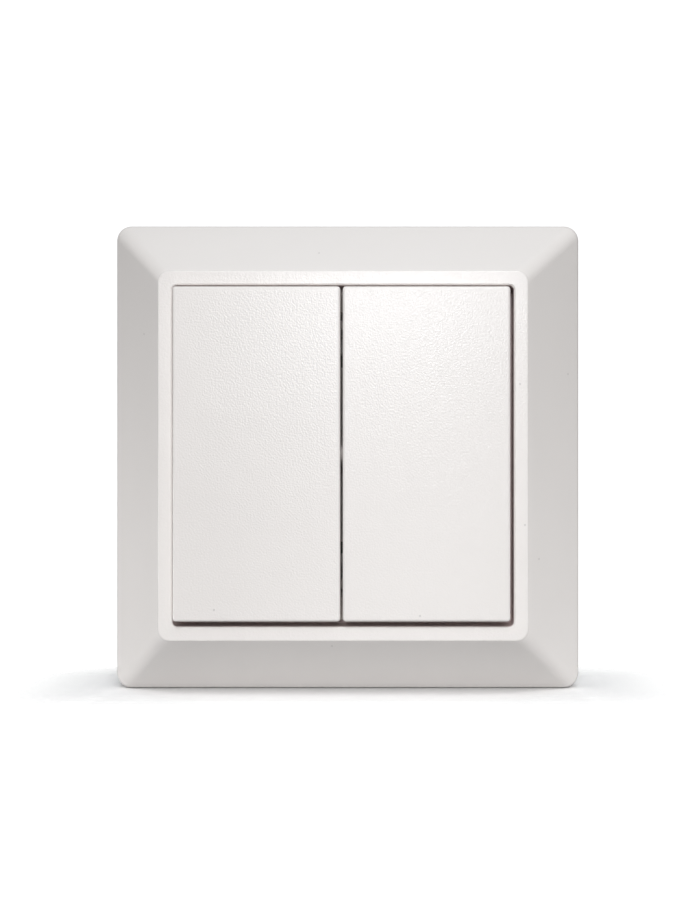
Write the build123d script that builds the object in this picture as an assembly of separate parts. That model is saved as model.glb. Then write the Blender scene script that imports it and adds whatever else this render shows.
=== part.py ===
from build123d import *
import math
import os

# A flat wireless wall switch with two rockers, powered by the push on a rocker. Millimetres and degrees.
# Each piece is drawn with X to the right, Y up the wall and Z out of the wall.
# The origin is on the wall, behind the middle of the switch.
# The finished pieces are then turned, so that Z points up and the face looks along -Y.

# Cover frame
OPENING = 55.8  # clear square around the rockers
OPENING_CORNER = 0.8
LIP_WIDTH = 2.25  # flat ring around the opening
LIP_DROP = 1.3  # from the rockers' faces down to the lip
LIP_WALL = 2.0
LIP_EDGE = 0.35
OPENING_EDGE = 0.25
BEVEL_RUN = 9.85  # width of the sloping sides, seen from the front
RIDGE_RADIUS = 2.9  # rounding between the sloping sides
FRAME_CORNER = 2.6
FRAME_WALL = 1.8
RIM_HEIGHT = 2.8  # straight outer edge
RIM_EDGE = 1.2
WALL_GAP = 0.2  # the frame stands this far off the wall
COLLAR_WALL = 1.6  # wall behind the lip, around the opening
LEDGE_WIDTH = 1.1  # inward step that the carrier's flange clamps
LEDGE_THICK = 1.2
FRAME_RIB = 1.2
FRAME_RIB_OFFSET = 13.0
FRAME_DROP = 0.3  # the frame hangs this far down in its play
FRAME_DRIFT = 0.18  # and this far to the right

# Rockers
SIDE_GAP = 0.5  # rocker to opening, left and right
END_GAP = 0.7  # rocker to opening, above and below
MIDDLE_GAP = 0.4  # between the rockers
ROCKER_CORNER = 0.5
ROCKER_EDGE = 0.4
ROCKER_TOP = 1.7
SKIRT = 1.5
FACE_RISE = 3.6  # from the pivots up to the rockers' faces
TILT = 5.0  # travel to either side
TILT_CLEARANCE = 0.25
RIB_THICK = 1.4
STIFFENER = 1.0
PUSH_GAP = 0.2  # the rockers rest this far above what they push
PUSH_RIB_START = 4.0
PUSH_RIB_LENGTH = 10.5
PUSHER_RADIUS = 1.3

# Pivots and clips
PIVOT_RISE = 2.6  # from the module's top up to the pivots
STUB_RADIUS = 1.25
STUB_LENGTH = 3.0
PIVOT_CLEARANCE = 0.05
CLIP_WALL = 1.0
CLIP_END_GAP = 0.3
CLIP_MOUTH = 1.9
PEDESTAL_FOOT = 6.0
PEDESTAL_CAP = 0.35  # wall around the stub
SIDE_PEDESTAL = 1.6
MIDDLE_PEDESTAL = 2.4
PEDESTAL_GAP = 1.2  # room for the middle pedestal in the skirts
CAP_CLEARANCE = 0.25  # pedestals to the rockers above them

# Wall plate
PLATE_INSET = 4.5  # from the frame's outer edge to the plate's
PLATE_CORNER = 3.0
PLATE_THICK = 1.6
PLATE_RIM = 1.2
PLATE_RIM_HEIGHT = 2.0
WINDOW = 33.0  # the module's pad drops into this window
WINDOW_CORNER = 2.0
BOX_SCREW_SPACING = 60.0
BOX_SLOT_WIDTH = 3.6
BOX_SLOT_LENGTH = 7.0
CORNER_SCREW_SPACING = 58.0
CORNER_SCREW_HOLE = 4.2
GUIDE_WALL = 1.2
GUIDE_HEIGHT = 2.0
GUIDE_LENGTH = 7.0

# Carrier frame and its snaps
FLANGE_GAP = 0.4  # flange to the frame's opening
FLANGE_CORNER = 1.0
CARRIER_THICK = 0.9
CARRIER_GAP = 0.6  # carrier's wall to the frame's ledge
CARRIER_WALL = 1.4
CARRIER_CORNER = 2.0
CARRIER_BAR = 1.5  # bar around the module's hole
RELEASE_SLOT = 1.5
RELEASE_SLOT_LENGTH = 30.0
MODULE_GAP = 0.8  # module to the carrier's hole
LUG_OVERLAP = 0.8
LUG_WIDTH = 5.0
LUG_OFFSET = 11.5
TOWER_GAP = 0.2
TOWER_THICK = 1.3
TOWER_WIDTH = 9.0
TOWER_TOP_GAP = 1.4
BARB_REACH = 0.8
BARB_HEIGHT = 1.6
BARB_RISE = 3.4  # from the plate to the barb's catch
BARB_CLEARANCE = 0.2

# Module case
MODULE_SIZE = 40.0
MODULE_CORNER = 1.5
CASE_WALL = 1.2
PAD_DEPTH = 1.2
PAD_GAP = 0.2
BASE_RISE = 2.4  # from the board up to the split of the case
HOLD_DOWN_GAP = 0.1
SHELF_WIDTH = 2.0
SHELF_THICK = 1.2

# Circuit board and what stands on it
BOARD_GAP = 0.2
BOARD_THICK = 1.0
BOARD_STANDOFF = 0.4
POST_WIDTH = 2.2
POST_INSET = 2.2
PIN_RADIUS = 0.6
PIN_CLEARANCE = 0.1
PIN_PROUD = 0.4
CUTOUT_GAP = 0.7  # generator to the board's cut-out, at the sides
CUTOUT_END_GAP = 0.2  # coil to the board's cut-out
CHIP_SIZE = 5.0
CHIP_HEIGHT = 0.9
CRYSTAL_LENGTH = 3.2
CRYSTAL_WIDTH = 2.5
CRYSTAL_HEIGHT = 0.8
SMALL_PART_LENGTH = 3.2
SMALL_PART_WIDTH = 1.8
SMALL_PART_HEIGHT = 1.6
SMALL_PART_GAP = 0.6  # from a row's ends to the bow's shelf and to the corner post
SMALL_PART_COUNT = 3
ANTENNA_LENGTH = 28.0
ANTENNA_THICK = 0.3
ANTENNA_HEIGHT = 1.8
ANTENNA_INSET = 0.7
ANTENNA_NOTCH = 1.2
ANTENNA_PITCH = 4.0

# Rubber contact domes
DOME_PIN_GAP = 0.2  # coil's pins to the domes
DOME_RADIUS = 1.6
DOME_BASE = 1.8
DOME_BASE_HEIGHT = 0.8
DOME_HOLE_GAP = 0.4
DOME_BOARD_MARGIN = 0.4

# Energy bow
BOW_RISE = 0.5  # from the module's top up to the bow's bars
BOW_THICK = 0.5
BOW_ARM = 3.0
BOW_BAR = 2.4
BOW_INSET = 1.0
BOW_BEND = 0.8
BOW_ARM_GAP = 0.3  # cut-out of the board to the bow's arms
BOW_CLEARANCE = 0.3
BOW_DEPTH = 1.4  # from the inside of the case's top down to the bow
NOTCH_WEB = 1.0
NOTCH_GAP = 0.7

# Generator
COIL_HEIGHT = 6.0
COIL_WIDTH = 6.4
COIL_LENGTH = 14.4
COIL_FLANGE = 1.0
COIL_Y = -6.0
WINDING_INSET = 0.3
WINDING_CORNER = 1.3
BOBBIN_WALL = 0.6
CORE_FIT = 0.05
CORE_LEG = 3.0
CORE_THICK = 1.4
CORE_SIDE_GAP = 0.3
COIL_PIN_WIDTH = 0.6
COIL_PIN_LENGTH = 2.4
COIL_PIN_DEPTH = 0.8
PIN_HOLE_GAP = 0.02

# Armature
ARMATURE_Y = 4.0
CORE_TIP = 4.0  # height of the core's tips, up the wall
TIP_REACH = 3.6  # how far the tips reach between the pole plates
POLE_GAP = 0.6  # pole plates to the core's tips, both sides together
POLE_THICK = 0.8
POLE_MARGIN = 0.2  # the pole plates overhang the tips by this at each end
MAGNET_LENGTH = 6.8
MAGNET_GAP = 1.2  # magnet to the core's tips
FLIP = 3.6  # travel of the armature
CHEEK = 1.2
CHEEK_LENGTH = 8.4
STRAP_THICK = 0.5
STRAP_LENGTH = 6.0
TRUNNION_RADIUS = 0.9
TRUNNION_LENGTH = 1.0
TRUNNION_CLEARANCE = 0.05
BEARING_GAP = 0.15
BEARING_WIDTH = 4.4
FORK_GAP = 0.15
FORK_JAW = 0.7
FORK_TOP = 0.45
FORK_WEB = 0.8
FORK_REACH = 0.2

# Sizes across the wall
LIP_SIZE = OPENING + 2 * LIP_WIDTH
FRAME_SIZE = LIP_SIZE + 2 * BEVEL_RUN
COLLAR_SIZE = OPENING + 2 * COLLAR_WALL
LEDGE_OPENING = OPENING - 2 * LEDGE_WIDTH
ROCKER_WIDTH = (OPENING - 2 * SIDE_GAP - MIDDLE_GAP) / 2
ROCKER_HEIGHT = OPENING - 2 * END_GAP
ROCKER_X = (MIDDLE_GAP + ROCKER_WIDTH) / 2
PLATE_SIZE = FRAME_SIZE - 2 * PLATE_INSET
FLANGE_SIZE = OPENING - 2 * FLANGE_GAP
CARRIER_SIZE = LEDGE_OPENING - 2 * CARRIER_GAP
CARRIER_HOLE = MODULE_SIZE + 2 * MODULE_GAP
CAVITY = MODULE_SIZE - 2 * CASE_WALL
PAD_SIZE = WINDOW - 2 * PAD_GAP
BOARD_SIZE = CAVITY - 2 * BOARD_GAP
POST_PLACE = CAVITY / 2 - POST_INSET
SMALL_PART_ROW = POST_PLACE - POST_WIDTH / 2 - SHELF_WIDTH / 2 - SMALL_PART_GAP
SMALL_PART_PITCH = SMALL_PART_ROW / SMALL_PART_COUNT

# Heights above the wall
FLOOR_Z = PLATE_THICK - PAD_DEPTH + CASE_WALL
CEILING_Z = FLOOR_Z + COIL_HEIGHT
MODULE_TOP = CEILING_Z + CASE_WALL
SHELF_Z = PLATE_THICK + CASE_WALL
BOARD_Z = SHELF_Z + BOARD_STANDOFF
BOARD_TOP = BOARD_Z + BOARD_THICK
SPLIT_Z = BOARD_TOP + BASE_RISE
GENERATOR_Z = FLOOR_Z + COIL_HEIGHT / 2
CARRIER_TOP = MODULE_TOP + CARRIER_THICK
PIVOT_Z = MODULE_TOP + PIVOT_RISE
FACE_Z = PIVOT_Z + FACE_RISE
ROCKER_UNDERSIDE = FACE_Z - ROCKER_TOP
SKIRT_Z = CARRIER_TOP + TILT_CLEARANCE + ROCKER_HEIGHT / 2 * math.sin(math.radians(TILT))
LIP_Z = FACE_Z - LIP_DROP
RIM_Z = WALL_GAP + RIM_HEIGHT
BEVEL_SLOPE = BEVEL_RUN / (LIP_Z - RIM_Z)
LEDGE_Z = MODULE_TOP - LEDGE_THICK
PLATE_RIM_Z = PLATE_THICK + PLATE_RIM_HEIGHT
BARB_Z = PLATE_THICK + BARB_RISE
BOW_BAR_Z = MODULE_TOP + BOW_RISE
BOW_ARM_Z = CEILING_Z - BOW_DEPTH
PUSH_Z = BOW_BAR_Z + PUSH_GAP

# Generator, board and bow, worked out from the coil
FLANGE_OUTER = COIL_LENGTH / 2 + COIL_FLANGE
CORE_INNER = FLANGE_OUTER + CORE_SIDE_GAP
CORE_OUTER = CORE_INNER + CORE_LEG
TIP_X = MAGNET_LENGTH / 2 + MAGNET_GAP
POLE_X = TIP_X + TIP_REACH
CUTOUT_X = CORE_OUTER + CUTOUT_GAP
CUTOUT_Y = COIL_WIDTH / 2 - COIL_Y + CUTOUT_END_GAP
ARM_INNER = CUTOUT_X + BOW_ARM_GAP
ARM_OUTER = ARM_INNER + BOW_ARM
COIL_PIN_X = (COIL_LENGTH + COIL_FLANGE) / 2
DOME_X = COIL_PIN_X + COIL_PIN_WIDTH / 2 + DOME_PIN_GAP + DOME_BASE
DOME_Y = CUTOUT_Y + DOME_BASE + DOME_BOARD_MARGIN
DOME_HOLE = DOME_RADIUS + DOME_HOLE_GAP
NOTCH_Y = DOME_Y + DOME_HOLE + NOTCH_WEB
BAR_OUTER = MODULE_SIZE / 2 - BOW_INSET
BAR_INNER = BAR_OUTER - BOW_BAR
BAR_Y = (BAR_OUTER + BAR_INNER) / 2
MAGNET_THICK = CORE_THICK + POLE_GAP
POLE_WIDTH = CORE_TIP + 2 * POLE_MARGIN
CHEEK_INNER = POLE_WIDTH / 2
CHEEK_OUTER = CHEEK_INNER + CHEEK
TRUNNION_END = CHEEK_OUTER + TRUNNION_LENGTH
BEARING_INNER = CHEEK_OUTER + BEARING_GAP
BEARING_OUTER = TRUNNION_END + BEARING_GAP

# Clips along the pivot line of the right rocker
MIDDLE_CLIP = (MIDDLE_PEDESTAL / 2 + CLIP_END_GAP, MIDDLE_PEDESTAL / 2 + STUB_LENGTH - CLIP_END_GAP)
SIDE_STUB_ROOT = MODULE_SIZE / 2 - SIDE_PEDESTAL
SIDE_CLIP = (SIDE_STUB_ROOT - STUB_LENGTH + CLIP_END_GAP, SIDE_STUB_ROOT - CLIP_END_GAP)
CLIP_BORE = STUB_RADIUS + PIVOT_CLEARANCE
PEDESTAL_SPANS = [(-MIDDLE_PEDESTAL / 2, MIDDLE_PEDESTAL / 2), (SIDE_STUB_ROOT, MODULE_SIZE / 2)]

SAME_PLACE = 0.001
SIDES = (-1, 1)
QUARTER_TURNS = [Rot(0, 0, angle) for angle in (0, 90, 180, 270)]
PIN_PLACES = [(side * POST_PLACE, side * POST_PLACE) for side in SIDES]


def slab(width, height, low, high, corner=0.0):
    """Block centred on the switch, between two heights, with rounded upright corners."""
    outline = RectangleRounded(width, height, corner) if corner > 0 else Rectangle(width, height)
    return Pos(0, 0, low) * extrude(outline, high - low)


def block(x, y, z):
    """Block between two values on each axis."""
    middle = [(low + high) / 2 for low, high in (x, y, z)]
    return Pos(*middle) * Box(*[high - low for low, high in (x, y, z)])


def peg(x, y, low, high, radius):
    """Round post between two heights."""
    return Pos(x, y, low) * extrude(Circle(radius), high - low)


def rod_x(start, end, z, radius):
    """Round bar along X, on the middle line of the switch."""
    return Pos((start + end) / 2, 0, z) * Rot(0, 90, 0) * Cylinder(radius, end - start)


def rod_y(x, start, end, z, radius):
    """Round bar along Y."""
    return Pos(x, (start + end) / 2, z) * Rot(90, 0, 0) * Cylinder(radius, end - start)


def corners(x, y):
    """The four mirrored places of a point."""
    return [(side_x * x, side_y * y) for side_x in SIDES for side_y in SIDES]


def edges_between(shape, low, high):
    """Edges that lie wholly between two heights."""
    boxes = [(edge, edge.bounding_box()) for edge in shape.edges()]
    return [edge for edge, box in boxes if box.min.Z > low - SAME_PLACE and box.max.Z < high + SAME_PLACE]


def edges_at(shape, height):
    """Edges that lie flat at one height."""
    return edges_between(shape, height, height)


def sloping_sides(low_size, low, high):
    """Square block that narrows upwards, with the slope of the cover frame's sides."""
    angle = math.degrees(math.atan(BEVEL_SLOPE))
    return Pos(0, 0, low) * extrude(Rectangle(low_size, low_size), high - low, taper=angle)


def frame_outside():
    """Outer form of the cover frame: a straight rim, then four sloping sides up to the lip."""
    sides = sloping_sides(FRAME_SIZE + 2 * BEVEL_SLOPE * RIM_HEIGHT, WALL_GAP, LIP_Z)
    ridges = [edge for edge in sides.edges() if edge.bounding_box().size.Z > SAME_PLACE]
    sides = fillet(ridges, RIDGE_RADIUS)
    form = slab(FRAME_SIZE, FRAME_SIZE, WALL_GAP, LIP_Z, FRAME_CORNER) & sides
    form = fillet(edges_at(form, LIP_Z), LIP_EDGE)
    return fillet(edges_between(form, RIM_Z, RIM_Z + FRAME_CORNER), RIM_EDGE)


def frame_hollow():
    """Hollow behind the sloping sides, around the collar and between the ribs."""
    side_wall = FRAME_WALL * math.hypot(1, BEVEL_SLOPE)
    rim_size = FRAME_SIZE - 2 * FRAME_WALL
    hollow = slab(rim_size, rim_size, WALL_GAP, RIM_Z)
    hollow += sloping_sides(FRAME_SIZE - 2 * side_wall, RIM_Z, LIP_Z - LIP_WALL)
    hollow -= slab(COLLAR_SIZE, COLLAR_SIZE, LEDGE_Z, LIP_Z)
    rib = block((0, FRAME_SIZE / 2), (-FRAME_RIB / 2, FRAME_RIB / 2), (PLATE_RIM_Z, LIP_Z))
    rib -= slab(LEDGE_OPENING, LEDGE_OPENING, PLATE_RIM_Z, LIP_Z)
    for turn in QUARTER_TURNS:
        for side in SIDES:
            hollow -= turn * Pos(0, side * FRAME_RIB_OFFSET, 0) * rib
    return hollow


def outer_frame():
    """Cover frame, hanging in the play that the carrier's flange leaves it."""
    frame = frame_outside()
    frame -= slab(OPENING, OPENING, LEDGE_Z + LEDGE_THICK, LIP_Z, OPENING_CORNER)
    frame = chamfer([edge for edge in edges_at(frame, LIP_Z) if on_opening(edge)], OPENING_EDGE)
    frame -= frame_hollow()
    frame -= slab(LEDGE_OPENING, LEDGE_OPENING, WALL_GAP, LEDGE_Z + LEDGE_THICK, OPENING_CORNER)
    return Pos(FRAME_DRIFT, -FRAME_DROP, 0) * frame


def on_opening(edge):
    """True for an edge on the inside of the lip."""
    middle = edge.center()
    return max(abs(middle.X), abs(middle.Y)) < (OPENING + SAME_PLACE) / 2


def clip(span):
    """Open clip that snaps over a pivot stub, with its mouth towards the wall."""
    outer = CLIP_BORE + CLIP_WALL
    neck_height = ROCKER_UNDERSIDE - PIVOT_Z
    profile = Circle(outer) + Pos(0, neck_height / 2) * Rectangle(2 * outer, neck_height)
    profile -= Circle(CLIP_BORE)
    profile -= Pos(0, -outer / 2) * Rectangle(CLIP_MOUTH, outer)
    start, end = span
    return Pos(start, 0, PIVOT_Z) * extrude(Plane.YZ * profile, end - start)


def rocker_shell():
    """Right rocker's moulded top with its skirts, open to the back."""
    shell = slab(ROCKER_WIDTH, ROCKER_HEIGHT, SKIRT_Z, FACE_Z, ROCKER_CORNER)
    shell = fillet(edges_at(shell, FACE_Z), ROCKER_EDGE)
    inner_width = ROCKER_WIDTH - 2 * SKIRT
    inner_height = ROCKER_HEIGHT - 2 * SKIRT
    shell -= slab(inner_width, inner_height, SKIRT_Z, ROCKER_UNDERSIDE)
    shell = Pos(ROCKER_X, 0, 0) * shell
    half_notch = PEDESTAL_FOOT / 2 + PEDESTAL_GAP
    shell -= block((0, MIDDLE_GAP / 2 + SKIRT), (-half_notch, half_notch), (SKIRT_Z, ROCKER_UNDERSIDE))
    cap_room = STUB_RADIUS + PEDESTAL_CAP + CAP_CLEARANCE
    for start, end in PEDESTAL_SPANS:
        shell -= rod_x(start - CLIP_END_GAP, end + CLIP_END_GAP, PIVOT_Z, cap_room)
    return shell


def right_rocker():
    """Right rocker with its clips, stiffeners, ribs over the bow and pushers over the contacts."""
    rocker = rocker_shell()
    inner_height = ROCKER_HEIGHT - 2 * SKIRT
    stiffener_z = PIVOT_Z + CLIP_BORE + PIVOT_CLEARANCE
    for span in (MIDDLE_CLIP, SIDE_CLIP):
        middle = sum(span) / 2
        rocker += block(
            (middle - STIFFENER / 2, middle + STIFFENER / 2),
            (-inner_height / 2, inner_height / 2),
            (stiffener_z, ROCKER_UNDERSIDE),
        )
        rocker += clip(span)
    rib_x = (PUSH_RIB_START, PUSH_RIB_START + PUSH_RIB_LENGTH)
    for side in SIDES:
        rib_y = (side * BAR_Y - RIB_THICK / 2, side * BAR_Y + RIB_THICK / 2)
        rocker += block(rib_x, rib_y, (PUSH_Z, ROCKER_UNDERSIDE))
        rocker += peg(DOME_X, side * DOME_Y, PUSH_Z, ROCKER_UNDERSIDE, PUSHER_RADIUS)
    return rocker


def left_rocker():
    """Left rocker, the mirror image of the right one."""
    return mirror(right_rocker(), about=Plane.YZ)


def snap_tower():
    """Springy tower on the wall plate, with a barb that catches the carrier's wall, on the right side."""
    outer = CARRIER_SIZE / 2 - CARRIER_WALL - TOWER_GAP
    inner = outer - TOWER_THICK
    top = MODULE_TOP - TOWER_TOP_GAP
    outline = Polyline(
        (inner, PLATE_THICK),
        (outer, PLATE_THICK),
        (outer, BARB_Z),
        (outer + BARB_REACH, BARB_Z),
        (outer, BARB_Z + BARB_HEIGHT),
        (outer, top),
        (inner, top),
        close=True,
    )
    return extrude(Plane.XZ * make_face(outline), TOWER_WIDTH / 2, both=True)


def module_guides():
    """Low corner walls that locate the module on the wall plate."""
    inner = MODULE_SIZE + 2 * PAD_GAP
    outer = inner + 2 * GUIDE_WALL
    top = PLATE_THICK + GUIDE_HEIGHT
    ring = slab(outer, outer, PLATE_THICK, top, GUIDE_WALL) - slab(inner, inner, PLATE_THICK, top)
    open_side = outer - 2 * GUIDE_LENGTH
    ring -= slab(open_side, outer, PLATE_THICK, top)
    return ring - slab(outer, open_side, PLATE_THICK, top)


def wall_plate():
    """Base plate with its rim, screw slots, screw holes, window, guides and snap towers."""
    plate = slab(PLATE_SIZE, PLATE_SIZE, 0, PLATE_RIM_Z, PLATE_CORNER)
    inside = PLATE_SIZE - 2 * PLATE_RIM
    plate -= slab(inside, inside, PLATE_THICK, PLATE_RIM_Z, PLATE_CORNER - PLATE_RIM)
    plate -= slab(WINDOW, WINDOW, 0, PLATE_THICK, WINDOW_CORNER)
    slot = extrude(SlotOverall(BOX_SLOT_LENGTH, BOX_SLOT_WIDTH), PLATE_THICK)
    for turn in QUARTER_TURNS:
        plate -= turn * Pos(BOX_SCREW_SPACING / 2, 0, 0) * slot
        plate += turn * snap_tower()
    for x, y in corners(CORNER_SCREW_SPACING / 2, CORNER_SCREW_SPACING / 2):
        plate -= peg(x, y, 0, PLATE_THICK, CORNER_SCREW_HOLE / 2)
    return plate + module_guides()


def carrier_frame():
    """Frame that clamps the cover frame by its flange and the module by four lugs."""
    frame = slab(FLANGE_SIZE, FLANGE_SIZE, MODULE_TOP, CARRIER_TOP, FLANGE_CORNER)
    inside = CARRIER_SIZE - 2 * CARRIER_WALL
    frame += slab(CARRIER_SIZE, CARRIER_SIZE, PLATE_THICK, MODULE_TOP, CARRIER_CORNER)
    frame -= slab(inside, inside, PLATE_THICK, MODULE_TOP, CARRIER_CORNER - CARRIER_WALL)
    frame -= slab(CARRIER_HOLE, CARRIER_HOLE, MODULE_TOP, CARRIER_TOP, MODULE_CORNER)
    bar_outer = CARRIER_HOLE / 2 + CARRIER_BAR
    half_slot = RELEASE_SLOT_LENGTH / 2
    slot_x = (bar_outer, bar_outer + RELEASE_SLOT)
    slot = block(slot_x, (-half_slot, half_slot), (MODULE_TOP, CARRIER_TOP))
    half_window = TOWER_WIDTH / 2 + BARB_CLEARANCE
    catch = (BARB_Z - BARB_CLEARANCE, BARB_Z + BARB_HEIGHT + BARB_CLEARANCE)
    window = block((inside / 2, CARRIER_SIZE / 2), (-half_window, half_window), catch)
    for turn in QUARTER_TURNS:
        frame -= turn * (slot + window)
    lug_inner = MODULE_SIZE / 2 - LUG_OVERLAP
    for x, y in corners(1, LUG_OFFSET):
        lug_x = sorted((x * lug_inner, x * CARRIER_HOLE / 2))
        frame += block(lug_x, (y - LUG_WIDTH / 2, y + LUG_WIDTH / 2), (MODULE_TOP, CARRIER_TOP))
    return frame


def bearing(y, low, high):
    """Upright that stands under or over one trunnion of the armature."""
    return block((-BEARING_WIDTH / 2, BEARING_WIDTH / 2), y, (low, high))


def bearing_spans():
    """Where the two bearings stand, up the wall."""
    upper = (ARMATURE_Y + BEARING_INNER, ARMATURE_Y + BEARING_OUTER)
    lower = (ARMATURE_Y - BEARING_OUTER, ARMATURE_Y - BEARING_INNER)
    return (lower, upper)


def module_base():
    """Lower half of the module's case: pad, walls, posts, bearings, core rests and the bow's shelf."""
    base = slab(MODULE_SIZE, MODULE_SIZE, PLATE_THICK, SPLIT_Z, MODULE_CORNER)
    base += slab(PAD_SIZE, PAD_SIZE, PLATE_THICK - PAD_DEPTH, PLATE_THICK, WINDOW_CORNER - PAD_GAP)
    base -= slab(CAVITY, CAVITY, SHELF_Z, SPLIT_Z)
    well = PAD_SIZE - 2 * CASE_WALL
    base -= slab(well, well, FLOOR_Z, SHELF_Z)
    for x, y in corners(POST_PLACE, POST_PLACE):
        base += Pos(x, y, 0) * slab(POST_WIDTH, POST_WIDTH, SHELF_Z, BOARD_Z)
    for x, y in PIN_PLACES:
        base += peg(x, y, BOARD_Z, BOARD_TOP + PIN_PROUD, PIN_RADIUS)
    for span in bearing_spans():
        base += bearing(span, FLOOR_Z, GENERATOR_Z)
    seat = TRUNNION_RADIUS + TRUNNION_CLEARANCE
    base -= rod_y(0, ARMATURE_Y - BEARING_OUTER, ARMATURE_Y + BEARING_OUTER, GENERATOR_Z, seat)
    rest_x = (CORE_INNER + CORE_OUTER) / 2
    for side in SIDES:
        rest = (side * rest_x - CASE_WALL / 2, side * rest_x + CASE_WALL / 2)
        base += block(rest, (COIL_Y, ARMATURE_Y), (FLOOR_Z, GENERATOR_Z - CORE_THICK / 2))
    shelf_z = (BOW_ARM_Z - SHELF_THICK, BOW_ARM_Z)
    return base + block((-CAVITY / 2, -ARM_INNER), (-SHELF_WIDTH / 2, SHELF_WIDTH / 2), shelf_z)


def pedestal(span):
    """Upright that carries pivot stubs, wide at its foot and rounded over the pivot."""
    cap = STUB_RADIUS + PEDESTAL_CAP
    foot = make_face(
        Polyline(
            (-PEDESTAL_FOOT / 2, MODULE_TOP),
            (PEDESTAL_FOOT / 2, MODULE_TOP),
            (cap, PIVOT_Z),
            (-cap, PIVOT_Z),
            close=True,
        )
    )
    profile = foot + Pos(0, PIVOT_Z) * Circle(cap)
    start, end = span
    return Pos(start, 0, 0) * extrude(Plane.YZ * profile, end - start)


def pivots():
    """Pedestals with the stubs that both rockers clip onto."""
    middle = MIDDLE_PEDESTAL / 2
    right = pedestal((SIDE_STUB_ROOT, MODULE_SIZE / 2))
    right += rod_x(SIDE_STUB_ROOT - STUB_LENGTH, SIDE_STUB_ROOT, PIVOT_Z, STUB_RADIUS)
    group = pedestal((-middle, middle))
    group += rod_x(-middle - STUB_LENGTH, middle + STUB_LENGTH, PIVOT_Z, STUB_RADIUS)
    return group + right + mirror(right, about=Plane.YZ)


def module_cover():
    """Upper half of the module's case, with pivots, openings for the bow and contacts, and hold-downs."""
    cover = slab(MODULE_SIZE, MODULE_SIZE, SPLIT_Z, MODULE_TOP, MODULE_CORNER)
    cover -= slab(CAVITY, CAVITY, SPLIT_Z, CEILING_Z)
    half_notch = ARM_OUTER + NOTCH_GAP
    for side in SIDES:
        notch_y = sorted((side * NOTCH_Y, side * MODULE_SIZE / 2))
        cover -= block((-half_notch, half_notch), notch_y, (SPLIT_Z, MODULE_TOP))
    for x, y in corners(DOME_X, DOME_Y):
        cover -= Pos(x, y, 0) * slab(2 * DOME_HOLE, 2 * DOME_HOLE, CEILING_Z, MODULE_TOP)
    hold_down = GENERATOR_Z + TRUNNION_RADIUS + HOLD_DOWN_GAP
    for span in bearing_spans():
        cover += bearing(span, hold_down, CEILING_Z)
    return cover + pivots()


def circuit_board():
    """Board around the generator, located on the base's pins."""
    board = slab(BOARD_SIZE, BOARD_SIZE, BOARD_Z, BOARD_TOP)
    board -= slab(2 * CUTOUT_X, 2 * CUTOUT_Y, BOARD_Z, BOARD_TOP, WINDOW_CORNER)
    for x, y in PIN_PLACES:
        board -= peg(x, y, BOARD_Z, BOARD_TOP, PIN_RADIUS + PIN_CLEARANCE)
    return board


def on_board(x, y, width, height, rise):
    """Flat component that stands on the board."""
    return Pos(x, y, 0) * slab(width, height, BOARD_TOP, BOARD_TOP + rise)


def radio_chip():
    """Transmitter between the upper contacts."""
    return on_board(0, CUTOUT_Y + DOME_BOARD_MARGIN + CHIP_SIZE / 2, CHIP_SIZE, CHIP_SIZE, CHIP_HEIGHT)


def crystal():
    """Clock crystal between the lower contacts."""
    y = -CUTOUT_Y - DOME_BOARD_MARGIN - CRYSTAL_WIDTH / 2
    return on_board(0, y, CRYSTAL_LENGTH, CRYSTAL_WIDTH, CRYSTAL_HEIGHT)


def small_parts(side):
    """Row of small components beside one arm of the bow."""
    x = side * (BOARD_SIZE / 2 - SMALL_PART_WIDTH / 2 - BOARD_GAP)
    first = -(SHELF_WIDTH + SMALL_PART_LENGTH) / 2 - SMALL_PART_GAP
    row = [first - SMALL_PART_PITCH * index for index in range(SMALL_PART_COUNT)]
    parts = [on_board(x, y, SMALL_PART_WIDTH, SMALL_PART_LENGTH, SMALL_PART_HEIGHT) for y in row]
    return Compound([part.solid() for part in parts])


def storage_capacitors():
    """Capacitors that hold the harvested energy."""
    return small_parts(1)


def rectifier_diodes():
    """Diodes that feed the capacitors."""
    return small_parts(-1)


def antenna():
    """Stamped strip that stands along the board's upper edge, notched from both sides in turn."""
    y = BOARD_SIZE / 2 - ANTENNA_INSET
    thick = (y - ANTENNA_THICK, y)
    top = BOARD_TOP + ANTENNA_HEIGHT
    strip = block((-ANTENNA_LENGTH / 2, ANTENNA_LENGTH / 2), thick, (BOARD_TOP, top))
    count = int(ANTENNA_LENGTH / ANTENNA_PITCH) - 1
    for index in range(count):
        x = (index - (count - 1) / 2) * ANTENNA_PITCH
        base = BOARD_TOP if index % 2 else top - ANTENNA_NOTCH
        notch_x = (x - ANTENNA_NOTCH / 2, x + ANTENNA_NOTCH / 2)
        strip -= block(notch_x, thick, (base, base + ANTENNA_NOTCH))
    return strip


def contact_dome(x, y):
    """Rubber contact on the board, which stands up through the case."""
    foot = peg(x, y, BOARD_TOP, BOARD_TOP + DOME_BASE_HEIGHT, DOME_BASE)
    return foot + peg(x, y, BOARD_TOP, BOW_BAR_Z, DOME_RADIUS)


def contact_domes(side):
    """The two contacts under one rocker."""
    return Compound([contact_dome(side * DOME_X, end * DOME_Y).solid() for end in SIDES])


def left_contact_domes():
    """Contacts under the left rocker."""
    return contact_domes(-1)


def right_contact_domes():
    """Contacts under the right rocker."""
    return contact_domes(1)


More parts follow.
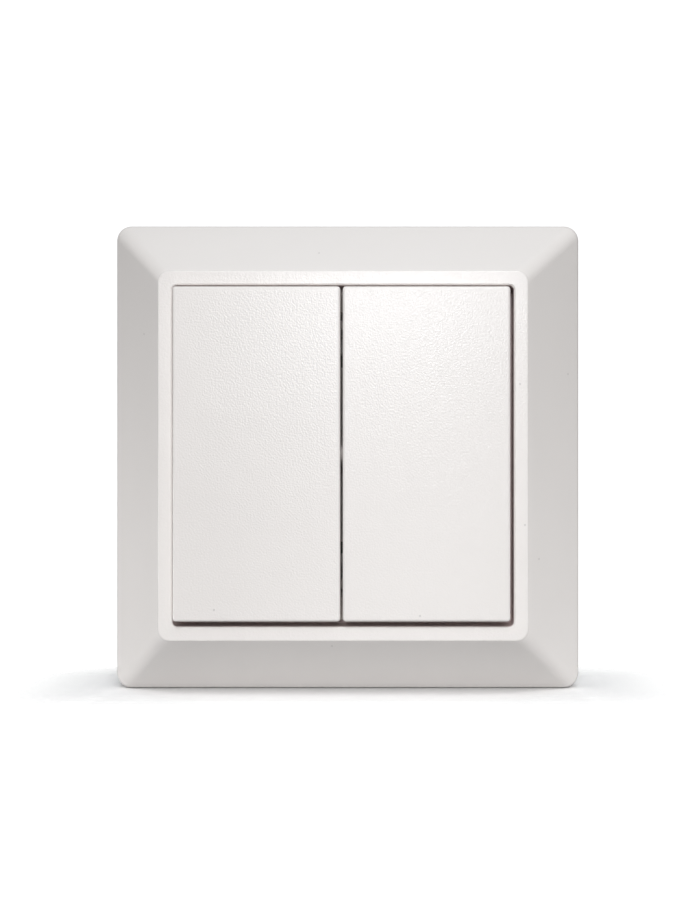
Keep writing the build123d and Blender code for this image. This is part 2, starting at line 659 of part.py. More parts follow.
def energy_bow():
    """Spring-steel ring, bent up at both ends to reach the rockers' ribs."""
    arm_z = BOW_ARM_Z + BOW_THICK / 2
    bar_z = BOW_BAR_Z - BOW_THICK / 2
    rise = NOTCH_Y + BOW_CLEARANCE
    half = [(rise, arm_z), (BAR_INNER, bar_z), (BAR_OUTER, bar_z)]
    path = FilletPolyline(*[(-y, z) for y, z in reversed(half)], *half, radius=BOW_BEND)
    ribbon = extrude(Plane.YZ * trace(path, BOW_THICK), ARM_OUTER, both=True)
    plan = slab(2 * ARM_OUTER, 2 * BAR_OUTER, FLOOR_Z, FACE_Z, BOW_ARM / 2)
    plan -= slab(2 * ARM_INNER, 2 * BAR_INNER, FLOOR_Z, FACE_Z, BOW_BEND)
    return ribbon & plan


def half_core():
    """Right half of the core: through the coil, up the side and in between the pole plates."""
    low = GENERATOR_Z - CORE_THICK / 2
    thick = (low, low + CORE_THICK)
    back = (COIL_Y - CORE_LEG / 2, COIL_Y + CORE_LEG / 2)
    tip = (ARMATURE_Y - CORE_TIP / 2, ARMATURE_Y + CORE_TIP / 2)
    core = block((0, CORE_OUTER), back, thick)
    core += block((CORE_INNER, CORE_OUTER), (back[0], tip[1]), thick)
    return core + block((TIP_X, CORE_OUTER), tip, thick)


def right_core():
    """Right half of the core."""
    return half_core()


def left_core():
    """Left half of the core, which meets the right half inside the coil."""
    return mirror(half_core(), about=Plane.YZ)


def coil_section(width, height, length):
    """Rectangular bar along the coil's axis."""
    return Pos(0, COIL_Y, GENERATOR_Z) * Box(length, width, height)


def tube_size():
    """Outer width and height of the bobbin's tube."""
    return CORE_LEG + 2 * (CORE_FIT + BOBBIN_WALL), CORE_THICK + 2 * (CORE_FIT + BOBBIN_WALL)


def coil_bobbin():
    """Former with two flanges, which stand between the case's floor and top."""
    full_length = 2 * FLANGE_OUTER
    bobbin = coil_section(*tube_size(), full_length)
    for side in SIDES:
        bobbin += Pos(side * COIL_PIN_X, 0, 0) * coil_section(COIL_WIDTH, COIL_HEIGHT, COIL_FLANGE)
    bobbin -= coil_section(CORE_LEG + 2 * CORE_FIT, CORE_THICK + 2 * CORE_FIT, full_length)
    for pin in coil_pin_list(PIN_HOLE_GAP):
        bobbin -= pin
    return bobbin


def coil_winding():
    """Winding between the bobbin's flanges."""
    width = COIL_WIDTH - 2 * WINDING_INSET
    height = COIL_HEIGHT - 2 * WINDING_INSET
    bulk = coil_section(width, height, COIL_LENGTH)
    bulk = fillet(bulk.edges().filter_by(Axis.X), WINDING_CORNER)
    return bulk - coil_section(*tube_size(), COIL_LENGTH)


def coil_pin_list(extra):
    """The coil's two square pins, or with something extra all round their holes."""
    root = COIL_Y - COIL_WIDTH / 2 + COIL_PIN_DEPTH
    half = COIL_PIN_WIDTH / 2 + extra
    middle_z = BOARD_TOP + COIL_PIN_WIDTH / 2
    pin = block((-half, half), (root - COIL_PIN_LENGTH, root + extra), (middle_z - half, middle_z + half))
    return [Pos(side * COIL_PIN_X, 0, 0) * pin for side in SIDES]


def coil_pins():
    """Pins from the bobbin's flanges to the board."""
    return Compound([pin.solid() for pin in coil_pin_list(0)])


def at_rest(piece):
    """Armature piece, tipped to the end of its travel where it rests."""
    pivot = Pos(0, ARMATURE_Y, GENERATOR_Z)
    return pivot * Rot(0, -FLIP / 2, 0) * piece


def magnet():
    """Block magnet between the pole plates."""
    return at_rest(Box(MAGNET_LENGTH, POLE_WIDTH, MAGNET_THICK))


def pole_plate(side):
    """Iron plate on one face of the magnet."""
    z = side * (MAGNET_THICK + POLE_THICK) / 2
    return at_rest(Pos(0, 0, z) * Box(2 * POLE_X, POLE_WIDTH, POLE_THICK))


def upper_pole_plate():
    """Pole plate on the side of the rockers."""
    return pole_plate(1)


def lower_pole_plate():
    """Pole plate on the side of the wall."""
    return pole_plate(-1)


def fork():
    """Lever with a fork at its end, around the bow's right arm."""
    reach = (ARM_INNER + ARM_OUTER) / 2
    arm_low = BOW_ARM_Z - GENERATOR_Z - reach * math.sin(math.radians(FLIP / 2))
    jaw_top = arm_low - FORK_GAP
    roof = arm_low + BOW_THICK + FORK_GAP
    y = (CHEEK_INNER, CHEEK_OUTER)
    web = (ARM_INNER - FORK_REACH - FORK_WEB, ARM_INNER - FORK_REACH)
    end = ARM_OUTER + FORK_REACH
    lever = block((0, end), y, (jaw_top - FORK_JAW, jaw_top))
    lever += block(web, y, (jaw_top, roof))
    return lever + block((web[0], end), y, (roof, roof + FORK_TOP))


def armature_carrier():
    """Cradle around the magnet and pole plates, with trunnions and the forked lever."""
    stack = MAGNET_THICK + 2 * POLE_THICK
    cheek_z = (-stack / 2, stack / 2 + STRAP_THICK)
    half_cheek = CHEEK_LENGTH / 2
    cradle = fork()
    for side in SIDES:
        cheek_y = sorted((side * CHEEK_INNER, side * CHEEK_OUTER))
        cradle += block((-half_cheek, half_cheek), cheek_y, cheek_z)
        trunnion = sorted((side * CHEEK_OUTER, side * TRUNNION_END))
        cradle += rod_y(0, *trunnion, 0, TRUNNION_RADIUS)
    strap_x = (-STRAP_LENGTH / 2, STRAP_LENGTH / 2)
    cradle += block(strap_x, (-CHEEK_OUTER, CHEEK_OUTER), (stack / 2, cheek_z[1]))
    return at_rest(cradle)


PIECES = [
    outer_frame,
    left_rocker,
    right_rocker,
    carrier_frame,
    wall_plate,
    module_base,
    module_cover,
    circuit_board,
    radio_chip,
    crystal,
    storage_capacitors,
    rectifier_diodes,
    antenna,
    left_contact_domes,
    right_contact_domes,
    energy_bow,
    left_core,
    right_core,
    coil_bobbin,
    coil_winding,
    coil_pins,
    magnet,
    upper_pole_plate,
    lower_pole_plate,
    armature_carrier,
]

ON_THE_WALL = Rot(90, 0, 0)

os.makedirs("parts", exist_ok=True)
for make_piece in PIECES:
    export_step(ON_THE_WALL * make_piece(), f"parts/{make_piece.__name__}.step")
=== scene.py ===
import math
from collections import namedtuple

import bmesh
import bpy
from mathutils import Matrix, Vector


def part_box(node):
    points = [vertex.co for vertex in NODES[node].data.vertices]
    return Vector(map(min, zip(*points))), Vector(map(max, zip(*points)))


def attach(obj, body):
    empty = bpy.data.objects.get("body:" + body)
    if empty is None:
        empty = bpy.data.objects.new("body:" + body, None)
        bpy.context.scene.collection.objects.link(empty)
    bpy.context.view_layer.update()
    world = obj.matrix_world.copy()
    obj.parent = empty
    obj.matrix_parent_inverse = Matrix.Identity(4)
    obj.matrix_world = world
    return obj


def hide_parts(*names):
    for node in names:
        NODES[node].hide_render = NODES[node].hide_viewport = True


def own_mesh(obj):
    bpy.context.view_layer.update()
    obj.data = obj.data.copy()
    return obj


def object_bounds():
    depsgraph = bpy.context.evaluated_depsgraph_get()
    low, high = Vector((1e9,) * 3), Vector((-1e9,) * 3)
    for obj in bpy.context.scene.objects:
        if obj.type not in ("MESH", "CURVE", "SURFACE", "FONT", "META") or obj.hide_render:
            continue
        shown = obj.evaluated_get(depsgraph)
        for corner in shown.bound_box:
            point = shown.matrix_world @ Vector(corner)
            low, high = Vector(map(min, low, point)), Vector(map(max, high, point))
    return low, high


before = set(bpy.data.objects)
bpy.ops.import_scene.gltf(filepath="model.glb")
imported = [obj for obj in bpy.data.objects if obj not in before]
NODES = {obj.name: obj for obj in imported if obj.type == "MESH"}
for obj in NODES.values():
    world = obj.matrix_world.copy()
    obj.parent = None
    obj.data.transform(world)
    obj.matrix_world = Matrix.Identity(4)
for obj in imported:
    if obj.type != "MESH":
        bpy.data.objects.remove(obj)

CAD_LOW, CAD_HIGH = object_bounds()
SIDES = ("left", "right")
MM = 0.001
ORIGIN = (0.0, 0.0, 0.0)

# The photograph's frame and optical axis in pixels, and the level camera that took it
IMAGE_WIDTH = 678
IMAGE_HEIGHT = 914
AXIS_PIXEL_X = 422.8
AXIS_PIXEL_Y = 473.7
FOCAL_PIXELS = 1062.0
CAMERA_PLACE = Vector((13.2 * MM, -187.0 * MM, -3.2 * MM))
CAMERA_TILT = math.radians(90)
CLIP_START = 1.0 * MM
SENSOR_MM = 36.0

# Lights: place in metres, side of the square in metres, power in watts, colour
Softbox = namedtuple("Softbox", "name place size power colour")
NEUTRAL = (1.0, 1.0, 1.0)
COOL = (0.98, 1.0, 1.03)
COLD = (0.93, 1.0, 1.05)
SOFTBOXES = (
    Softbox("key_light", (-0.01, -0.515, 0.117), 0.08, 0.40, COOL),
    Softbox("wide_key", (-0.005, -0.515, 0.134), 0.22, 0.24, COOL),
    Softbox("high_light", (0.08, -0.50, 0.30), 0.25, 0.91, NEUTRAL),
    Softbox("steep_light", (0.05, -0.36, 0.40), 0.25, 0.84, NEUTRAL),
    Softbox("top_light", (0.0, -0.05, 0.50), 0.25, 0.43, COLD),
    Softbox("low_light", (0.22, -0.40, -0.02), 0.15, 0.078, NEUTRAL),
    Softbox("back_light", (0.0, 0.60, 0.0), 0.06, 2.80, NEUTRAL),
)

# Light that a wider floor throws back, on the switch alone
BOUNCES = (
    Softbox("left_bounce", (-0.12, -0.03, -0.03), 0.05, 0.034, NEUTRAL),
    Softbox("right_bounce", (0.12, -0.03, -0.03), 0.05, 0.018, NEUTRAL),
    Softbox("front_bounce", (0.01, -0.17, -0.03), 0.08, 0.044, NEUTRAL),
)

# Faint light from all round, and the white backdrop that the camera alone sees
WORLD_COLOUR = (1.0, 1.0, 1.0, 1.0)
WORLD_STRENGTH = 0.02
BACKDROP_STRENGTH = 1.1

# Floor: a disc just under the switch, in linear colour; size of its faint clouds in millimetres
FLOOR_RADIUS = 250.0 * MM
FLOOR_SIDES = 96
FLOOR_GAP = 0.05 * MM
FLOOR_COLOUR = (0.70, 0.70, 0.70)
FLOOR_TINT = 0.01
FLOOR_MOTTLE = 60.0
FLOOR_ROUGHNESS = 0.9

# The floor's fade: half the sizes of the full part, widths of the fade, and its speed when not seen
FLOOR_FULL = (41.0 * MM, 7.0 * MM)
FLOOR_FADE = (19.0 * MM, 13.0 * MM)
UNSEEN_FADE = 0.30

# The floor's gain for the camera, in the open and close by, where a painted contact shadow darkens it;
# openness taken as open, and its reach
OPEN_GAIN = 1.72
NEAR_GAIN = 0.53
NEAR_OPEN = 0.37
NEAR_REACH = 16.0 * MM

# White of the cover, in linear colour; sizes and depth of its clouds and grain in millimetres
WHITE = (0.86, 0.825, 0.80)
WHITE_TINT = 0.010
WHITE_MOTTLE = 14.0
FACE_ROUGHNESS = 0.22
BEVEL_ROUGHNESS = 0.38
GRAIN_SIZE = 0.30
GRAIN_DEPTH = 0.040

# The frame's lip: how far behind the front its finish ends, in millimetres, and its gain
LIP_EDGE = (0.15, 0.50)
LIP_GAIN = 1.02

# Painted shade on the walls of the opening: width of the ring around it and softness in millimetres, and
# the colour without and with the painted shade
RING_WIDTH = 12.05
WALL_SOFTNESS = 0.05
NO_PAINTED_SHADE = (1.0, 1.0, 1.0, 1.0)
WALL_PAINTED_SHADE = (0.72, 0.60, 0.60, 1.0)

# Specks in the white, at pixels of the photograph; radius and softness in millimetres, and shade
SPECK_RADIUS = 0.14
SPECK_SOFTNESS = 0.10
SPECK_SHADE = 0.72
SPECKS = {
    "outer_frame": ((319, 253), (144, 334), (520, 384), (525, 525), (539, 559), (568, 374), (332, 646)),
    "left_rocker": ((214, 610),),
    "right_rocker": ((420, 616),),
}

# Noises: range that colours are spread over, fineness, and the stretch of an even one
NOISE_LOW = 0.2
NOISE_HIGH = 0.8
NOISE_DETAIL = 2.0
EVEN = (1.0, 1.0, 1.0)

# Other plastics: linear colour, roughness, size and depth of the grain in millimetres
Plastic = namedtuple("Plastic", "slot colour roughness grain depth nodes")
DOMES = [f"{side}_contact_domes" for side in SIDES]
PLASTICS = (
    Plastic("carrier_plastic", (0.78, 0.72, 0.68), 0.55, 0.20, 0.010, ("carrier_frame",)),
    Plastic("plate_plastic", (0.80, 0.79, 0.77), 0.55, 0.20, 0.010, ("wall_plate",)),
    Plastic("module_plastic", (0.55, 0.51, 0.49), 0.55, 0.20, 0.010, ("module_base", "module_cover")),
    Plastic("bobbin_plastic", (0.05, 0.05, 0.05), 0.50, 0.20, 0.010, ("coil_bobbin",)),
    Plastic("cradle_plastic", (0.80, 0.80, 0.78), 0.50, 0.20, 0.010, ("armature_carrier",)),
    Plastic("contact_rubber", (0.62, 0.62, 0.62), 0.70, 0.25, 0.010, DOMES),
    Plastic("chip_black", (0.03, 0.03, 0.03), 0.55, 0.10, 0.010, ("radio_chip", "rectifier_diodes")),
    Plastic("capacitor_tan", (0.50, 0.36, 0.22), 0.40, 0.30, 0.006, ("storage_capacitors",)),
)

# Their clouds: change of colour, size in millimetres, and change of roughness
PLASTIC_TINT = 0.02
PLASTIC_MOTTLE = 9.0
ROUGHNESS_SPREAD = 0.04

# Metals: linear colour, roughness, width of the rolled lines in millimetres and how they are drawn out
Metal = namedtuple("Metal", "slot colour roughness line stretch nodes")
ALONG_X = (0.05, 1.0, 1.0)
ALONG_Z = (1.0, 1.0, 0.05)
METALS = (
    Metal("spring_steel", (0.36, 0.35, 0.34), 0.48, 0.12, ALONG_Z, ("energy_bow",)),
    Metal("core_iron", (0.42, 0.42, 0.43), 0.38, 0.12, ALONG_X, ("left_core", "right_core")),
    Metal("pole_iron", (0.42, 0.42, 0.43), 0.38, 0.12, ALONG_X, ("upper_pole_plate", "lower_pole_plate")),
    Metal("magnet_nickel", (0.70, 0.68, 0.64), 0.22, 0.30, EVEN, ("magnet",)),
    Metal("can_metal", (0.75, 0.74, 0.70), 0.30, 0.15, ALONG_X, ("crystal", "antenna", "coil_pins")),
)

# Their lines: darkest and lightest share of the colour, change of roughness, depth in millimetres
METAL_DARK = 0.88
METAL_LIGHT = 1.06
METAL_ROUGHNESS_SPREAD = 0.08
METAL_LINE_DEPTH = 0.004

# Copper winding: scale and unevenness of its turns, linear colours, and depth in millimetres
WIRE_BANDS = 1200.0
WIRE_WANDER = 0.6
WIRE_DARK = (0.30, 0.10, 0.04, 1.0)
WIRE_LIGHT = (0.72, 0.32, 0.14, 1.0)
WIRE_ROUGHNESS = 0.32
WIRE_DEPTH = 0.04

# Circuit board: linear colours of the solder mask; sizes and depth of its texture in millimetres
MASK_DARK = (0.012, 0.075, 0.035, 1.0)
MASK_LIGHT = (0.02, 0.14, 0.06, 1.0)
MASK_ROUGHNESS = 0.30
MASK_AREA = 2.2
MASK_EDGE = (0.46, 0.50)
MASK_GRAIN = 0.35
MASK_DEPTH = 0.01
MASK_DETAIL = 1.0

# Rubber contacts: sizes in millimetres, and the counts of rounding steps and sides around
STEM_RADIUS = 1.6
FOOT_HEIGHT = 0.8
TOP_ROUNDING = 0.4
ROUNDING_STEPS = 4
STEM_SIDES = 32


def new_material(name):
    """A node material, its tree and its main shader."""
    material = bpy.data.materials.new(name)
    material.use_nodes = True
    tree = material.node_tree
    return material, tree, tree.nodes["Principled BSDF"]


def object_place(tree):
    """Place on the object, in metres."""
    return tree.nodes.new("ShaderNodeTexCoord").outputs["Object"]


def camera_rays(tree):
    """One for what the camera sees, and zero for other light."""
    return tree.nodes.new("ShaderNodeLightPath").outputs["Is Camera Ray"]


def object_noise(tree, size_mm, detail=NOISE_DETAIL, stretch=EVEN):
    """Noise fixed to the object, with features of about the given size."""
    scale = tree.nodes.new("ShaderNodeMapping")
    scale.inputs["Scale"].default_value = stretch
    noise = tree.nodes.new("ShaderNodeTexNoise")
    noise.inputs["Scale"].default_value = 1.0 / (size_mm * MM)
    noise.inputs["Detail"].default_value = detail
    tree.links.new(object_place(tree), scale.inputs["Vector"])
    tree.links.new(scale.outputs["Vector"], noise.inputs["Vector"])
    return noise.outputs["Fac"]


def ramp(tree, value, low, high, start=NOISE_LOW, end=NOISE_HIGH):
    """Colours spread over the range of a noise, or between two other values."""
    node = tree.nodes.new("ShaderNodeValToRGB")
    first, last = node.color_ramp.elements
    first.position = start
    last.position = end
    first.color = low
    last.color = high
    tree.links.new(value, node.inputs["Fac"])
    return node.outputs["Color"]


def spread(tree, value, low, high, start=0.0, end=1.0):
    """Numbers from low to high, as a value goes from start to end."""
    node = tree.nodes.new("ShaderNodeMapRange")
    node.inputs["From Min"].default_value = start
    node.inputs["From Max"].default_value = end
    node.inputs["To Min"].default_value = low
    node.inputs["To Max"].default_value = high
    tree.links.new(value, node.inputs["Value"])
    return node.outputs["Result"]


def value_step(tree, operation, first, second):
    """One step of arithmetic on two values."""
    node = tree.nodes.new("ShaderNodeMath")
    node.operation = operation
    tree.links.new(first, node.inputs[0])
    tree.links.new(second, node.inputs[1])
    return node.outputs["Value"]


def vector_step(tree, operation, vector, other=ORIGIN):
    """Outputs of one step of arithmetic on a vector."""
    node = tree.nodes.new("ShaderNodeVectorMath")
    node.operation = operation
    tree.links.new(vector, node.inputs[0])
    node.inputs[1].default_value = other
    return node.outputs


def split(tree, vector):
    """The X, Y and Z of a vector."""
    node = tree.nodes.new("ShaderNodeSeparateXYZ")
    tree.links.new(vector, node.inputs["Vector"])
    return node.outputs


def times(tree, colour, value):
    """Colour times a grey value or another colour."""
    node = tree.nodes.new("ShaderNodeMix")
    node.data_type = "RGBA"
    node.blend_type = "MULTIPLY"
    node.inputs["Factor"].default_value = 1.0
    tree.links.new(colour, node.inputs["A"])
    tree.links.new(value, node.inputs["B"])
    return node.outputs["Result"]


def mix_shaders(tree, share, first, second):
    """Two shaders mixed, from the first alone at zero to the second alone at one."""
    mix = tree.nodes.new("ShaderNodeMixShader")
    for source, socket in zip((share, first, second), mix.inputs):
        tree.links.new(source, socket)
    return mix.outputs["Shader"]


def shade(colour, factor):
    """A colour made lighter or darker, with its alpha."""
    return tuple(channel * factor for channel in colour) + (1.0,)


def clouded(tree, clouds, colour, tint):
    """A colour that a noise makes a little darker and lighter."""
    return ramp(tree, clouds, shade(colour, 1.0 - tint), shade(colour, 1.0 + tint))


def vary_roughness(tree, shader, noise, middle, change):
    """Roughness that goes up and down with a noise."""
    tree.links.new(spread(tree, noise, middle - change, middle + change), shader.inputs["Roughness"])


def add_bump(tree, shader, height, depth_mm, strength=None):
    """Bump of the given depth on a shader, at full strength or at that of a value."""
    bump = tree.nodes.new("ShaderNodeBump")
    bump.inputs["Strength"].default_value = 1.0
    bump.inputs["Distance"].default_value = depth_mm * MM
    tree.links.new(height, bump.inputs["Height"])
    if strength is not None:
        tree.links.new(strength, bump.inputs["Strength"])
    tree.links.new(bump.outputs["Normal"], shader.inputs["Normal"])


def pixel_place(node, pixel):
    """Where the camera's ray through a pixel of the photograph meets a node."""
    across = (pixel[0] - AXIS_PIXEL_X) / FOCAL_PIXELS
    up = (AXIS_PIXEL_Y - pixel[1]) / FOCAL_PIXELS
    _, place, _, _ = NODES[node].ray_cast(CAMERA_PLACE, Vector((across, 1.0, up)).normalized())
    return place


def speck_shade(tree, node, pixel):
    """One, and darker on a speck."""
    distance = vector_step(tree, "DISTANCE", object_place(tree), pixel_place(node, pixel))["Value"]
    inner, outer = SPECK_RADIUS - SPECK_SOFTNESS, SPECK_RADIUS + SPECK_SOFTNESS
    return spread(tree, distance, SPECK_SHADE, 1.0, inner * MM, outer * MM)


def white_colour(tree, node):
    """Warm white with faint clouds and the specks of one node, and the clouds alone."""
    clouds = object_noise(tree, WHITE_MOTTLE)
    colour = clouded(tree, clouds, WHITE, WHITE_TINT)
    for pixel in SPECKS[node]:
        colour = times(tree, colour, speck_shade(tree, node, pixel))
    return colour, clouds


def white_rocker(node):
    """Rocker's white, with a spark-eroded grain."""
    material, tree, shader = new_material(f"{node}_white")
    colour, clouds = white_colour(tree, node)
    tree.links.new(colour, shader.inputs["Base Color"])
    vary_roughness(tree, shader, clouds, FACE_ROUGHNESS, ROUGHNESS_SPREAD)
    add_bump(tree, shader, object_noise(tree, GRAIN_SIZE), GRAIN_DEPTH)
    return material


def within_opening(tree, node):
    """One inside the frame's opening and on its walls, and zero on the ring around it."""
    low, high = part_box(node)
    offset = vector_step(tree, "SUBTRACT", object_place(tree), (low + high) / 2)["Vector"]
    axes = split(tree, vector_step(tree, "ABSOLUTE", offset)["Vector"])
    furthest = value_step(tree, "MAXIMUM", axes["X"], axes["Z"])
    reach = (high.x - low.x) / 2 - RING_WIDTH * MM
    return spread(tree, furthest, 1.0, 0.0, reach, reach + WALL_SOFTNESS * MM)


def paint_wall_shade(tree, colour, node, on_lip):
    """The frame's colour, with painted shade that darkens and warms the walls in the opening, behind the
    lip.
    """
    behind = spread(tree, on_lip, 1.0, 0.0)
    walls = value_step(tree, "MULTIPLY", behind, within_opening(tree, node))
    # Painted shade: the walls deep in the opening are darkened and warmed in their colour
    return times(tree, colour, ramp(tree, walls, NO_PAINTED_SHADE, WALL_PAINTED_SHADE, 0.0, 1.0))


def white_frame(node):
    """Frame's white: satin slopes, a grain on the flat of the lip, and painted shade on the walls in the
    opening.
    """
    material, tree, shader = new_material(f"{node}_white")
    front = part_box(node)[0].y
    start, end = (front + edge * MM for edge in LIP_EDGE)
    on_lip = spread(tree, split(tree, object_place(tree))["Y"], 1.0, 0.0, start, end)
    colour, _ = white_colour(tree, node)
    colour = times(tree, colour, spread(tree, on_lip, 1.0, LIP_GAIN))
    tree.links.new(paint_wall_shade(tree, colour, node, on_lip), shader.inputs["Base Color"])
    tree.links.new(spread(tree, on_lip, BEVEL_ROUGHNESS, FACE_ROUGHNESS), shader.inputs["Roughness"])
    add_bump(tree, shader, object_noise(tree, GRAIN_SIZE), GRAIN_DEPTH, on_lip)
    return material


def moulded_plastic(finish):
    """Moulded plastic or rubber with a fine grain and faint clouds in its colour and gloss."""
    material, tree, shader = new_material(finish.slot)
    clouds = object_noise(tree, PLASTIC_MOTTLE)
    tree.links.new(clouded(tree, clouds, finish.colour, PLASTIC_TINT), shader.inputs["Base Color"])
    vary_roughness(tree, shader, clouds, finish.roughness, ROUGHNESS_SPREAD)
    add_bump(tree, shader, object_noise(tree, finish.grain), finish.depth)
    return material


def rolled_metal(finish):
    """Rolled or plated metal with fine lines along one direction."""
    material, tree, shader = new_material(finish.slot)
    shader.inputs["Metallic"].default_value = 1.0
    lines = object_noise(tree, finish.line, stretch=finish.stretch)
    dark, light = shade(finish.colour, METAL_DARK), shade(finish.colour, METAL_LIGHT)
    tree.links.new(ramp(tree, lines, dark, light), shader.inputs["Base Color"])
    vary_roughness(tree, shader, lines, finish.roughness, METAL_ROUGHNESS_SPREAD)
    add_bump(tree, shader, lines, METAL_LINE_DEPTH)
    return material


def copper_winding():
    """Turns of enamelled wire, side by side along the coil."""
    material, tree, shader = new_material("copper_wire")
    shader.inputs["Metallic"].default_value = 1.0
    shader.inputs["Roughness"].default_value = WIRE_ROUGHNESS
    turns = tree.nodes.new("ShaderNodeTexWave")
    turns.bands_direction = "X"
    turns.inputs["Scale"].default_value = WIRE_BANDS
    turns.inputs["Distortion"].default_value = WIRE_WANDER
    tree.links.new(object_place(tree), turns.inputs["Vector"])
    wire = turns.outputs["Fac"]
    tree.links.new(ramp(tree, wire, WIRE_DARK, WIRE_LIGHT), shader.inputs["Base Color"])
    add_bump(tree, shader, wire, WIRE_DEPTH)
    return material


def circuit_laminate():
    """Solder mask with faint copper areas under it."""
    material, tree, shader = new_material("board_laminate")
    shader.inputs["Roughness"].default_value = MASK_ROUGHNESS
    areas = object_noise(tree, MASK_AREA, MASK_DETAIL)
    tree.links.new(ramp(tree, areas, MASK_DARK, MASK_LIGHT, *MASK_EDGE), shader.inputs["Base Color"])
    add_bump(tree, shader, object_noise(tree, MASK_GRAIN, MASK_DETAIL), MASK_DEPTH)
    return material


def dress(material, *names):
    """Gives nodes a material."""
    for name in names:
        slots = NODES[name].data.materials
        slots.clear()
        slots.append(material)


def dress_object():
    """Materials of every node."""
    dress(white_frame("outer_frame"), "outer_frame")
    for side in SIDES:
        dress(white_rocker(f"{side}_rocker"), f"{side}_rocker")
    for finish in PLASTICS:
        dress(moulded_plastic(finish), *finish.nodes)
    for finish in METALS:
        dress(rolled_metal(finish), *finish.nodes)
    dress(copper_winding(), "coil_winding")
    dress(circuit_laminate(), "circuit_board")


def contact_outline(foot_radius, height):
    """Radius and height along a contact's outline, from the rim of its foot to the rim of its top."""
    stem, rounding, foot = STEM_RADIUS * MM, TOP_ROUNDING * MM, FOOT_HEIGHT * MM
    outline = [(foot_radius, 0.0), (foot_radius, foot), (stem, foot)]
    for step in range(ROUNDING_STEPS + 1):
        angle = math.pi / 2 * step / ROUNDING_STEPS
        radius = stem - rounding + rounding * math.cos(angle)
        outline.append((radius, height - rounding + rounding * math.sin(angle)))
    return outline


def turn_contact(shape, foot, outline):
    """Adds one turned contact to a shape, standing out of the wall from the middle of its foot."""
    angles = [math.tau * side / STEM_SIDES for side in range(STEM_SIDES)]
    rings = []
    for radius, height in outline:
        places = [foot + Vector((radius * math.cos(a), -height, radius * math.sin(a))) for a in angles]
        rings.append([shape.verts.new(place) for place in places])
    for lower, upper in zip(rings, rings[1:]):
        for side in range(STEM_SIDES):
            shape.faces.new((lower[side - 1], lower[side], upper[side], upper[side - 1]))
    shape.faces.new(rings[0])
    shape.faces.new(rings[-1])


def contact_mesh(name, low, high):
    """Mesh of both contacts under one rocker, which fill the box of the solids."""
    middle, foot_radius = (low.x + high.x) / 2, (high.x - low.x) / 2
    outline = contact_outline(foot_radius, high.y - low.y)
    shape = bmesh.new()
    for end in (low.z + foot_radius, high.z - foot_radius):
        turn_contact(shape, Vector((middle, high.y, end)), outline)
    bmesh.ops.recalc_face_normals(shape, faces=shape.faces)
    mesh = bpy.data.meshes.new(name)
    shape.to_mesh(mesh)
    shape.free()
    return mesh


def rubber_contacts(side):
    """Both contacts under one rocker, in place of its solids."""
    name, node = f"{side}_rubber_contacts", f"{side}_contact_domes"
    low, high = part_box(node)
    piece = bpy.data.objects.new(name, contact_mesh(name, low, high))
    piece.data.materials.append(NODES[node].data.materials[0])
    bpy.context.scene.collection.objects.link(piece)
    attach(piece, "base")
    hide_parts(node)
    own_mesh(piece)


def seen_level(tree):
    """Level of the floor as it is seen: washed out in the open, and darker close to the switch by a
    painted contact shadow from ambient occlusion.
    """
    painted_contact_shadow = tree.nodes.new("ShaderNodeAmbientOcclusion")
    painted_contact_shadow.inputs["Distance"].default_value = NEAR_REACH
    # Painted contact shadow: ambient occlusion darkens the floor's colour close to the switch, for the
    # camera alone
    gain = spread(tree, painted_contact_shadow.outputs["AO"], NEAR_GAIN, OPEN_GAIN, 0.0, NEAR_OPEN)
    level = tree.nodes.new("ShaderNodeMapRange")
    level.inputs["To Min"].default_value = 1.0
    tree.links.new(camera_rays(tree), level.inputs["Value"])
    tree.links.new(gain, level.inputs["To Max"])
    return level.outputs["Result"]


def fade_out(tree, shader):
    """Lets the backdrop through, more and more away from the switch's foot, and sooner for the camera."""
    across = vector_step(tree, "ABSOLUTE", object_place(tree))["Vector"]
    beyond = vector_step(tree, "SUBTRACT", across, (*FLOOR_FULL, 0.0))["Vector"]
    outside = vector_step(tree, "MAXIMUM", beyond)["Vector"]
    reach = vector_step(tree, "DIVIDE", outside, (*FLOOR_FADE, 1.0))["Vector"]
    distance = vector_step(tree, "LENGTH", reach)["Value"]
    speed = spread(tree, camera_rays(tree), UNSEEN_FADE, 1.0)
    faded = spread(tree, value_step(tree, "MULTIPLY", distance, speed), 0.0, 1.0)
    clear = tree.nodes.new("ShaderNodeBsdfTransparent")
    mixed = mix_shaders(tree, faded, shader.outputs["BSDF"], clear.outputs["BSDF"])
    tree.links.new(mixed, tree.nodes["Material Output"].inputs["Surface"])


def floor_material():
    """Pale matt floor with a painted contact shadow close to the switch, that fades into the white
    backdrop.
    """
    material, tree, shader = new_material("studio_floor")
    clouds = object_noise(tree, FLOOR_MOTTLE)
    colour = times(tree, clouded(tree, clouds, FLOOR_COLOUR, FLOOR_TINT), seen_level(tree))
    tree.links.new(colour, shader.inputs["Base Color"])
    shader.inputs["Roughness"].default_value = FLOOR_ROUGHNESS
    fade_out(tree, shader)
    return material


def make_floor():
    """Floor that the switch stands on for its picture."""
    under = (0.0, 0.0, CAD_LOW.z - FLOOR_GAP)
    bpy.ops.mesh.primitive_circle_add(
        vertices=FLOOR_SIDES, radius=FLOOR_RADIUS, fill_type="NGON", location=under)
    floor = bpy.context.object
    floor.name = "studio_floor"
    floor.data.materials.append(floor_material())
    return floor


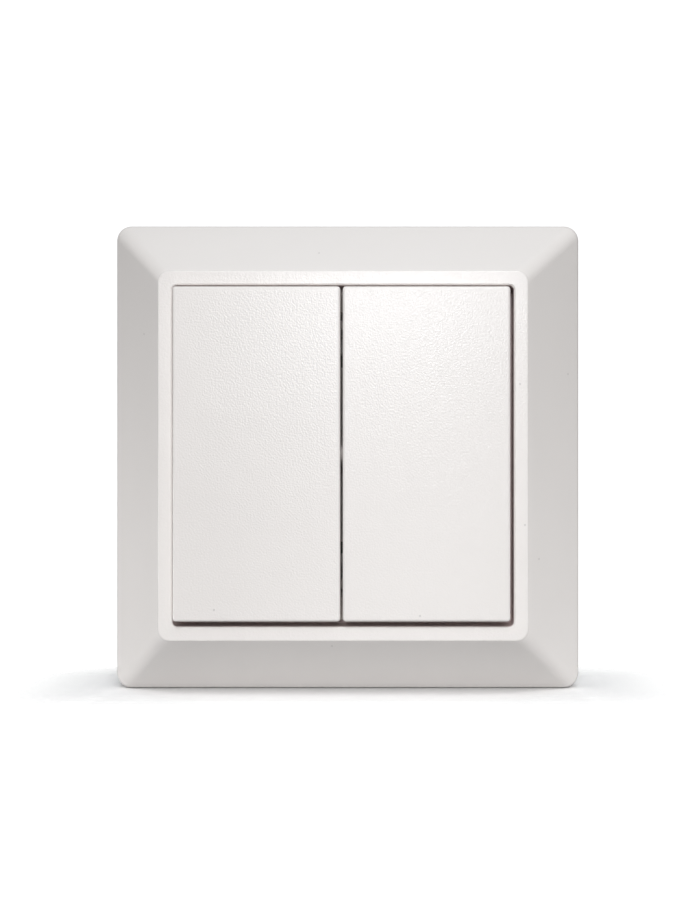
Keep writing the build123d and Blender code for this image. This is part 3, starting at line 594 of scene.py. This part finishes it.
def make_softbox(box):
    """Square area light that faces the object."""
    light = bpy.data.lights.new(box.name, "AREA")
    light.shape = "SQUARE"
    light.size = box.size
    light.energy = box.power
    light.color = box.colour
    lamp = bpy.data.objects.new(box.name, light)
    lamp.location = box.place
    lamp.rotation_euler = (-Vector(box.place)).to_track_quat("-Z", "Y").to_euler()
    lamp.visible_camera = False
    bpy.context.scene.collection.objects.link(lamp)
    return lamp


def make_bounces(floor):
    """Lights for what the floor throws back. They leave out the floor itself."""
    left_out = bpy.data.collections.new("left_out")
    left_out.objects.link(floor)
    left_out.collection_objects[0].light_linking.link_state = "EXCLUDE"
    for box in BOUNCES:
        make_softbox(box).light_linking.receiver_collection = left_out


def plain_background(node, strength):
    """Sets a plain background of the given strength, and gives its shader."""
    node.inputs["Color"].default_value = WORLD_COLOUR
    node.inputs["Strength"].default_value = strength
    return node.outputs["Background"]


def make_world():
    """White backdrop for the camera, and faint light from all round."""
    world = bpy.data.worlds.new("studio")
    bpy.context.scene.world = world
    world.use_nodes = True
    tree = world.node_tree
    around = plain_background(tree.nodes["Background"], WORLD_STRENGTH)
    backdrop = plain_background(tree.nodes.new("ShaderNodeBackground"), BACKDROP_STRENGTH)
    mixed = mix_shaders(tree, camera_rays(tree), around, backdrop)
    tree.links.new(mixed, tree.nodes["World Output"].inputs["Surface"])


def make_camera():
    """Camera in the photograph's place, with its frame shifted to the photograph's."""
    lens = bpy.data.cameras.new("photo_camera")
    # The sensor's width spans the longer side of the picture, its height
    lens.sensor_width = SENSOR_MM
    lens.lens = SENSOR_MM * FOCAL_PIXELS / IMAGE_HEIGHT
    lens.shift_x = (IMAGE_WIDTH / 2 - AXIS_PIXEL_X) / IMAGE_HEIGHT
    lens.shift_y = (AXIS_PIXEL_Y - IMAGE_HEIGHT / 2) / IMAGE_HEIGHT
    lens.clip_start = CLIP_START
    camera = bpy.data.objects.new("photo_camera", lens)
    camera.location = CAMERA_PLACE
    camera.rotation_euler = (CAMERA_TILT, 0.0, 0.0)
    bpy.context.scene.collection.objects.link(camera)
    bpy.context.scene.camera = camera


bpy.context.scene.view_settings.view_transform = "Standard"
dress_object()
for rocker_side in SIDES:
    rubber_contacts(rocker_side)
make_bounces(make_floor())
make_world()
for softbox in SOFTBOXES:
    make_softbox(softbox)
make_camera()
